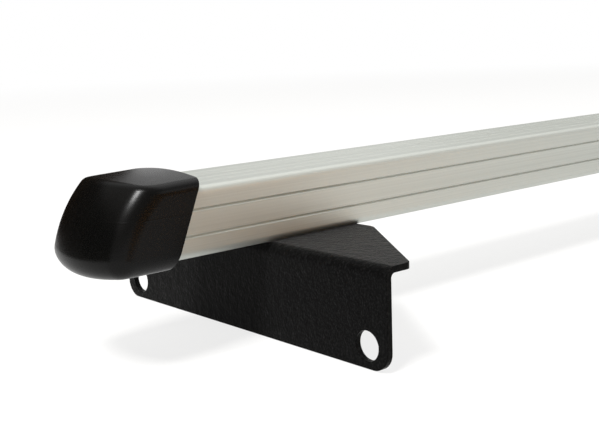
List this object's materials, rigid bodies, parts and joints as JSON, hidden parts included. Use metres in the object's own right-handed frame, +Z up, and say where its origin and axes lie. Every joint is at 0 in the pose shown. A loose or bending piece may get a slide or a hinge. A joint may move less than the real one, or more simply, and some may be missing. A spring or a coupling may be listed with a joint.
{
  "type": "roof rack crossbar",
  "caption": "Aluminium roof rack crossbar with plastic end caps, on folded steel feet that slide in a T-slot and bolt to a car's roof points.",
  "frame": {"origin": "midway between the feet, on the plane of the foot plates' lower edges, under the bar's centre line", "axes": "+X along the bar towards the right foot, +Y across the bar, +Z up"},
  "size_m": [1.2352, 0.14, 0.058],
  "materials": {
    "bar_aluminium": "satin anodised extrusion",
    "cap_plastic": "semi-gloss moulded",
    "bracket_steel": "fine powder coat",
    "fastener_steel": "zinc plated",
    "spring_steel": "zinc plated spring steel"
  },
  "bodies": {
    "bar": {"crossbar": "bar_aluminium", "left_end_cap": "cap_plastic", "right_end_cap": "cap_plastic"},
    "left_foot": {"left_bracket": "bracket_steel", "left_outer_bolt": "fastener_steel", "left_outer_washer": "fastener_steel", "left_outer_spring_washer": "spring_steel", "left_outer_nut": "fastener_steel", "left_inner_bolt": "fastener_steel", "left_inner_washer": "fastener_steel", "left_inner_spring_washer": "spring_steel", "left_inner_nut": "fastener_steel"},
    "right_foot": {"right_bracket": "bracket_steel", "right_outer_bolt": "fastener_steel", "right_outer_washer": "fastener_steel", "right_outer_spring_washer": "spring_steel", "right_outer_nut": "fastener_steel", "right_inner_bolt": "fastener_steel", "right_inner_washer": "fastener_steel", "right_inner_spring_washer": "spring_steel", "right_inner_nut": "fastener_steel"}
  },
  "joints": [
    {"name": "left_foot_slide", "type": "slide", "parent": "bar", "child": "left_foot", "axis": [1, 0, 0], "range_m": [-0.036, 0.5]},
    {"name": "right_foot_slide", "type": "slide", "parent": "bar", "child": "right_foot", "axis": [-1, 0, 0], "range_m": [-0.036, 0.5]}
  ]
}
